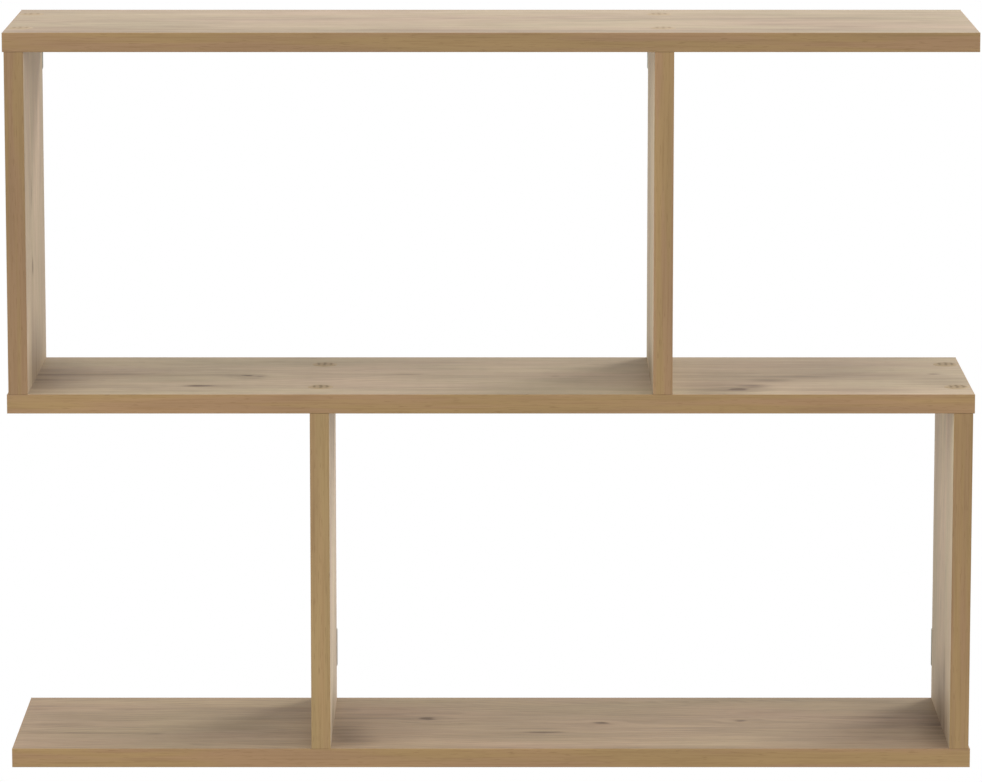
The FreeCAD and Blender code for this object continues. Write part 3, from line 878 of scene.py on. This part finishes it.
@dataclass
class HangerScrews:
    """The small countersunk screws that hold the keyhole hangers, two to each."""

    hangers: tuple[tuple[float, float], ...]  # place along the shelf and height of each hanger
    offset: float = 15.5  # from the hanger's middle to each screw
    head_top: float = -0.1  # the head lies just below the hanger's face
    head_radius: float = 3.4
    edge: float = 0.08  # rounding of the head's rim, and radius of the tip
    neck: float = 0.3  # plain part between the cone and the thread
    shank_radius: float = 1.75
    core_radius: float = 1.25
    pitch: float = 1.4
    ridge_slope: float = 1.6  # how steeply the thread's flanks rise
    thread_rows: int = 44
    length: float = 16.0
    point_length: float = 3.2
    tip_height: float = 0.05
    recess_span: float = 3.9
    recess_width: float = 0.95
    recess_depth: float = 1.5
    recess_taper: float = 0.55  # how much shallower the cross is at a wing's end
    side_wall: float = 0.14  # width of the sloping wall along a wing
    end_wall: float = 0.2  # width of the sloping wall at a wing's end
    steps: int = 64
    crease_degrees: float = 35.0

    def build(self, material: bpy.types.Material) -> None:
        """Makes the screws: cross recess, cone, thread and point.

        Args:
            material: The plated steel.
        """
        turn = np.linspace(0, 2 * math.pi, self.steps, endpoint=False)
        rings = np.concatenate([self._face(turn), self._shank(turn)])
        start = np.array([0.0, -self.recess_depth, 0.0])
        skin = turned_skin(rings, start, np.array([0.0, -self.length, 0.0]))
        aside = (self.offset, -self.offset)
        places = np.array([[x, self.head_top, z + up] for x, z in self.hangers for up in aside])
        name = "hanger_cross_screws"
        piece = put_in_scene(name, copies_mesh(name, skin, places, self.crease_degrees))
        piece.data.materials.append(material)
        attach(piece, ROOT)
        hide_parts("hanger_screws")
        log.info("%s: %d screws", name, len(places))

    def _face(self, turn: np.ndarray) -> np.ndarray:
        """Rings of the head's face with the cross pressed into it.

        In a wing, where the smaller of |x| and |z| is under half the wing's width, the face
        sinks by the depth times 1 minus the taper's share of the way to the wing's end.

        Args:
            turn: Angles round the head.

        Returns:
            Rings by steps by 3, from the middle to the rim.
        """
        half_span = self.recess_span / 2
        # The cross needs 16 rings, and the plain face round it 3.
        radii = np.concatenate([np.linspace(0.12, half_span + 0.1, 16), [2.5, 3.0, self.head_radius]])
        x, z = radii[:, None] * np.cos(turn), radii[:, None] * np.sin(turn)
        near, far = np.minimum(abs(x), abs(z)), np.maximum(abs(x), abs(z))
        wing = np.clip((self.recess_width / 2 - near) / self.side_wall + 0.5, 0, 1)
        inside = np.clip((half_span - far) / self.end_wall, 0, 1)
        sink = self.recess_depth * (1 - self.recess_taper * far / half_span)
        return np.stack([x, -wing * inside * np.maximum(sink, 0), z], axis=-1)

    def _shank(self, turn: np.ndarray) -> np.ndarray:
        """Rings of the cone, the thread and the point.

        The radius of the thread is core + (shank - core) * ridge, where ridge is
        1 - |2 f - 1| * slope, not below 0, and f is the fraction of depth / pitch + turn / 360.

        Args:
            turn: Angles round the screw.

        Returns:
            Rings by steps by 3, from the rim to the tip.
        """
        cone = self.head_radius - self.shank_radius
        thread = np.linspace(cone + self.neck, self.length - self.point_length, self.thread_rows)
        depth = np.concatenate([[self.edge, cone], thread, [self.length - self.tip_height]])
        fraction = (depth[:, None] / self.pitch + turn[None] / (2 * math.pi)) % 1
        ridge = np.clip(1 - abs(2 * fraction - 1) * self.ridge_slope, 0, 1)
        radius = self.core_radius + (self.shank_radius - self.core_radius) * ridge
        radius[0] = self.head_radius - self.edge
        radius[1] = self.shank_radius
        radius[-1] = self.edge
        lying = np.broadcast_to(-depth[:, None], radius.shape)
        return np.stack([radius * np.cos(turn), lying, radius * np.sin(turn)], axis=-1)


@dataclass(frozen=True)
class SoftBox:
    """A square soft box that faces the shelf."""

    name: str
    place: Triple  # its middle
    size: float  # its side
    watts: float

    def build(self) -> None:
        """Adds the lamp to the scene."""
        lamp = bpy.data.lights.new(self.name, "AREA")
        lamp.shape = "SQUARE"
        lamp.size = self.size * MM
        lamp.energy = self.watts
        face_towards(put_in_scene(self.name, lamp), self.place, (0.0, 0.0, 0.0))


@dataclass
class Studio:
    """Plain floor, soft white light and the camera."""

    soft_boxes: tuple[SoftBox, ...]
    floor_level: float = -4800.0  # low enough to look up at the shelf from above the floor
    floor_half_size: float = 15000.0
    floor_lines: int = 9
    floor_paint: str = "#f4f4f4"
    floor_glow: float = 0.5
    world_strength: float = 0.64
    camera_place: Triple = (0.0, -5301.0, 860.3)
    camera_aim: Triple = (0.0, -220.0, 12.4)
    lens: float = 202.8
    sensor_width: float = 36.0
    clip: tuple[float, float] = (100.0, 60000.0)

    def build(self) -> None:
        """Makes the floor, the world, the lamps and the camera."""
        self._floor()
        self._world()
        for soft_box in self.soft_boxes:
            soft_box.build()
        camera = put_in_scene("camera", bpy.data.cameras.new("camera"))
        camera.data.lens = self.lens
        camera.data.sensor_width = self.sensor_width
        camera.data.clip_start, camera.data.clip_end = (end * MM for end in self.clip)
        face_towards(camera, self.camera_place, self.camera_aim)
        bpy.context.scene.camera = camera
        bpy.context.scene.view_settings.view_transform = "Standard"

    def _floor(self) -> None:
        """Lays a smooth pale floor: a grid of x = half * (2 s - 1), y = half * (2 t - 1)."""
        lines = self.floor_lines
        side = np.linspace(-1, 1, lines) * self.floor_half_size * MM
        x, y = np.meshgrid(side, side)
        vertices = np.stack([x, y, np.full_like(x, self.floor_level * MM)], -1).reshape(-1, 3)
        number = np.arange(lines**2).reshape(lines, lines)
        corners = (number[:-1, :-1], number[:-1, 1:], number[1:, 1:], number[1:, :-1])
        mesh = bpy.data.meshes.new("floor")
        mesh.from_pydata(vertices.tolist(), [], np.stack(corners, -1).reshape(-1, 4).tolist())
        material, tree = new_material("matt_white_floor_paint")
        diffuse = add_node(tree, "BsdfDiffuse", {"Color": linear(self.floor_paint)})
        # The camera sees the paint a little brighter, so that the far floor is white too.
        seen = self._seen(tree, 0.0, self.floor_glow)
        glow = add_node(tree, "Emission", {"Color": (1, 1, 1, 1), "Strength": seen})
        both = add_node(tree, "AddShader", {0: diffuse, 1: glow})
        add_node(tree, "OutputMaterial", {"Surface": both})
        mesh.materials.append(material)
        put_in_scene("floor", mesh)

    def _world(self) -> None:
        """Sets an even white surround: 1 where it is seen or mirrored, less as light."""
        world = bpy.data.worlds.new("white_surround")
        world.use_nodes = True
        tree = world.node_tree
        tree.nodes.clear()
        seen = self._seen(tree, self.world_strength, 1.0)
        sky = add_node(tree, "Background", {"Color": (1, 1, 1, 1), "Strength": seen})
        add_node(tree, "OutputWorld", {"Surface": sky})
        bpy.context.scene.world = world

    @staticmethod
    def _seen(tree: Tree, unseen: float, seen: float) -> Node:
        """A strength that differs between rays that light and rays that show.

        Args:
            tree: The node tree that uses it.
            unseen: Strength for diffuse and shadow rays.
            seen: Strength for camera, glossy and transmission rays.

        Returns:
            The strength.
        """
        path = add_node(tree, "LightPath")
        shown = path.outputs["Is Camera Ray"]
        for ray in ("Is Glossy Ray", "Is Transmission Ray"):
            shown = add_node(tree, "Math", {0: shown, 1: path.outputs[ray]}, operation="MAXIMUM")
        return add_node(tree, "MapRange", {"Value": shown, "To Min": unseen, "To Max": seen})


# -------------------- the wall shelf

TOP_MARKS = (
    Mark(-405, 175, 60, 30, 0.12),
    Mark(-287, 164, 50, 17, 0.2),
    Mark(-200, 180, 60, 12, 0.08),
    Mark(-90, 190, 62, 13, 0.2),
    Mark(-5, 150, 40, 26, 0.12),
    Mark(265, 145, 52, 13, 0.2),
    Mark(330, 164, 44, 14, 0.2),
    Mark(120, 120, 150, 20, -0.1),
    Mark(-120, 110, 60, 22, -0.1),
    Mark(335, 110, 190, 160, 0.16),
    Mark(-350, 198, 170, 46, 0.3),
    Mark(-270, 40, 230, 60, -0.16),
    Mark(-20, 36, 150, 46, -0.12),
    Mark(320, 34, 150, 50, -0.12),
    Mark(-235, 112, 110, 34, -0.16),
    # Painted shade: the whole front strip of the top face is drawn darker, as if less light reached it.
    Mark(0, 216, 620, 56, 0.22),
)

MIDDLE_MARKS = (
    Mark(-232, 112, 8, 7, 1.0, 0.8),
    Mark(-240, 108, 34, 9, 0.32),
    Mark(-225, 128, 26, 14, 0.16),
    Mark(-275, 170, 20, 8, 0.85, 0.5),
    Mark(-262, 172, 46, 12, 0.3),
    Mark(-219, 115, 9, 6, 0.7, 0.5),
    Mark(-370, 106, 95, 30, 0.36),
    Mark(-350, 99, 45, 7, 0.3),
    Mark(-290, 112, 140, 18, 0.12),
    Mark(-77, 103, 26, 8, 0.42),
    Mark(-30, 112, 60, 9, 0.16),
    Mark(95, 115, 60, 9, 0.12),
    Mark(61, 114, 6, 5, 0.4, 0.4),
    # Painted light: lifts the shadow that the upper right upright casts to its left.
    Mark(112, 108, 60, 48, -0.28),
    Mark(232, 190, 13, 9, 1.0, 0.7),
    Mark(246, 172, 24, 16, 0.5),
    Mark(262, 138, 34, 20, 0.36),
    Mark(300, 118, 50, 12, 0.24),
    Mark(205, 120, 60, 60, 0.1),
    Mark(290, 90, 190, 150, 0.3),
    Mark(422, 102, 12, 6, 0.75, 0.5),
    Mark(360, 106, 90, 9, 0.26),
    Mark(345, 150, 90, 20, -0.12),
    Mark(30, 46, 150, 70, -0.2),
    # Painted shade in the corner at the upper left upright's foot.
    Mark(-430, 130, 70, 160, 0.62),
    # Painted shade at the front right of the upper right upright's foot, over a real cloud of small
    # knots.
    Mark(215, 190, 66, 70, 0.5),
    # Painted shade along the front towards the right end.
    Mark(330, 200, 110, 30, 0.3),
    Mark(428, 150, 50, 60, 0.22),
    Mark(-10, 196, 90, 34, 0.12),
)

BOTTOM_MARKS = (
    Mark(-60, 93, 11, 10, 0.95, 0.7),
    Mark(-62, 96, 34, 22, 0.16),
    Mark(105, 111, 12, 7, 1.0, 0.8),
    Mark(100, 116, 40, 9, 0.24),
    Mark(238, 102, 9, 7, 0.8, 0.7),
    Mark(246, 100, 34, 8, 0.22),
    Mark(52, 152, 26, 7, 0.6, 0.4),
    Mark(30, 158, 80, 15, 0.36),
    Mark(-66, 158, 100, 24, 0.22),
    Mark(70, 66, 110, 14, 0.14),
    Mark(-385, 155, 90, 8, 0.36),
    Mark(-318, 157, 14, 6, 0.3, 0.3),
    Mark(-408, 120, 42, 20, 0.16),
    Mark(-440, 158, 40, 24, 0.14),
    Mark(180, 154, 90, 14, 0.12),
    Mark(360, 88, 80, 12, 0.2),
    Mark(110, 201, 300, 17, -0.2),
    Mark(180, 128, 90, 12, -0.1),
    # Partly painted shade beside the lower left upright, and partly a grey patch of the print.
    Mark(-115, 100, 80, 130, 0.3),
    # Painted shade in the corner at the lower left upright's foot.
    Mark(-142, 170, 44, 90, 0.6),
    Mark(-112, 192, 56, 40, 0.24),
    Mark(50, 128, 75, 30, 0.16),
    Mark(-350, 40, 130, 54, -0.16),
    # Painted shade in the corner at the lower right upright's foot.
    Mark(434, 130, 40, 150, 0.62),
    Mark(375, 50, 60, 60, 0.14),
    Mark(60, 190, 260, 60, 0.2),
    Mark(-400, 190, 110, 60, 0.16),
    # Painted shade that deepens the shadow left of the lower right upright.
    Mark(405, 110, 75, 110, 0.14),
    # Painted shade that deepens the shadow left of the lower left upright.
    Mark(-235, 120, 80, 110, 0.1),
)

UPPER_LEFT_MARKS = (
    Mark(190, 148, 26, 8, 0.5, 0.4),
    Mark(118, 142, 15, 10, 0.9, 0.7),
    Mark(100, 150, 55, 26, 0.2),
    Mark(55, 152, 45, 32, 0.16),
    Mark(240, 60, 60, 30, -0.12),
    # Painted shade at the foot, where the upright stands on the middle shelf.
    Mark(10, 130, 76, 140, 0.62),
    # Painted light near the top, under the top shelf.
    Mark(300, 130, 190, 220, -0.28),
)

UPPER_RIGHT_MARKS = (
    # Painted shade at the foot.
    Mark(14, 150, 44, 130, 0.55),
    # Painted light near the top, under the top shelf.
    Mark(300, 130, 200, 220, -0.16),
    Mark(150, 120, 26, 9, 0.5, 0.4),
)

LOWER_LEFT_MARKS = (
    # Painted shade at the foot.
    Mark(-327, 140, 50, 120, 0.55),
    # Painted light near the top, under the middle shelf, and over the middle of the face.
    Mark(-60, 130, 200, 220, -0.2),
    Mark(-160, 110, 150, 110, -0.3),
)

LOWER_RIGHT_MARKS = (
    Mark(-268, 150, 36, 24, 0.3, 0.3),
    # Painted shade at the foot.
    Mark(-329, 140, 78, 140, 0.75),
    # Painted light near the top, under the middle shelf.
    Mark(-40, 130, 240, 220, -0.3),
)

SHELVES = (
    # The factors paint light and shade: the bottom board is drawn darker and browner because it lies in
    # the shade of the boards above, and the last number draws the lower front bands lighter, as painted
    # light.
    Shelf("top", 338.0, TOP_MARKS, (0.88, 0.885, 0.915), 0.95),
    Shelf("middle", 0.0, MIDDLE_MARKS, (0.905, 0.915, 0.915), 1.04),
    Shelf("bottom", -338.0, BOTTOM_MARKS, (0.785, 0.745, 0.705), 1.06),
)

UPRIGHTS = (
    # The factors of three uprights draw their faces 16 to 38 per cent paler, as painted light for the
    # light that falls on their sides.
    Upright("upper_left", -440.5, 1.0, UPPER_LEFT_MARKS, band_tone_and_light=0.93),
    Upright("upper_right", 160.0, -1.0, UPPER_RIGHT_MARKS, (1.2, 1.25, 1.23)),
    Upright(
        "lower_left", -160.0, 1.0, LOWER_LEFT_MARKS, (1.25, 1.3, 1.38), 1.0, ("#a1865a", "#a08259")
    ),
    Upright("lower_right", 440.5, -1.0, LOWER_RIGHT_MARKS, (1.16, 1.19, 1.21), 0.95),
)

COVER_ROWS = (
    CoverRow("top_shelf_top", (-437.5, 160.0), 347.0, 1.0),
    CoverRow("middle_shelf_top", (-160.0, 437.5), 9.0, 1.0),
    CoverRow("middle_shelf_underside", (-437.5, 160.0), -9.0, -1.0),
    CoverRow("bottom_shelf_underside", (-160.0, 437.5), -347.0, -1.0),
)

HANGER_PLACES = ((-440.5, 308.9), (160.0, 308.9), (-160.0, -278.0), (440.5, -278.0))

SOFT_BOXES = (
    SoftBox("key", (3410.0, 3890.0, 4140.0), 2080.0, 218.0),
    SoftBox("overhead", (0.0, -900.0, 3900.0), 2400.0, 48.0),
    SoftBox("front_fill", (-600.0, -4600.0, 900.0), 2600.0, 27.0),
    SoftBox("left_fill", (-4200.0, -1400.0, 900.0), 2000.0, 58.0),
    SoftBox("right_fill", (4200.0, -1400.0, 900.0), 2000.0, 58.0),
)


def main() -> None:
    """Builds and dresses the wall shelf, then the studio."""
    logging.basicConfig(level=logging.INFO, format="%(name)s %(message)s")
    end = OakEdgeBand("oak_edge_band_end", Grain.SHELF_END).material()
    for shelf in SHELVES:
        shelf.build(end)
    for upright in UPRIGHTS:
        upright.build()

    foil = OakScrewFoil("oak_screw_foil").material()
    # A lighter, fainter copy of the same foil for the top shelf: painted light, as if its covers got more
    # light.
    lit_foil = OakScrewFoil("oak_screw_foil_lit", 0.55, "#ab967a").material()
    for row in COVER_ROWS:
        row.build(lit_foil if row.shelf_face == "top_shelf_top" else foil)
    screw_steel = ZincPlatedSteel("zinc_plated_screw_steel").material()
    for row in COVER_ROWS:
        dress(f"{row.shelf_face}_screws", screw_steel)
    dress("hangers", ZincPlatedSteel("zinc_plated_sheet_steel").material())
    HangerScrews(HANGER_PLACES).build(screw_steel)

    Studio(SOFT_BOXES).build()


if __name__ == "__main__":
    main()
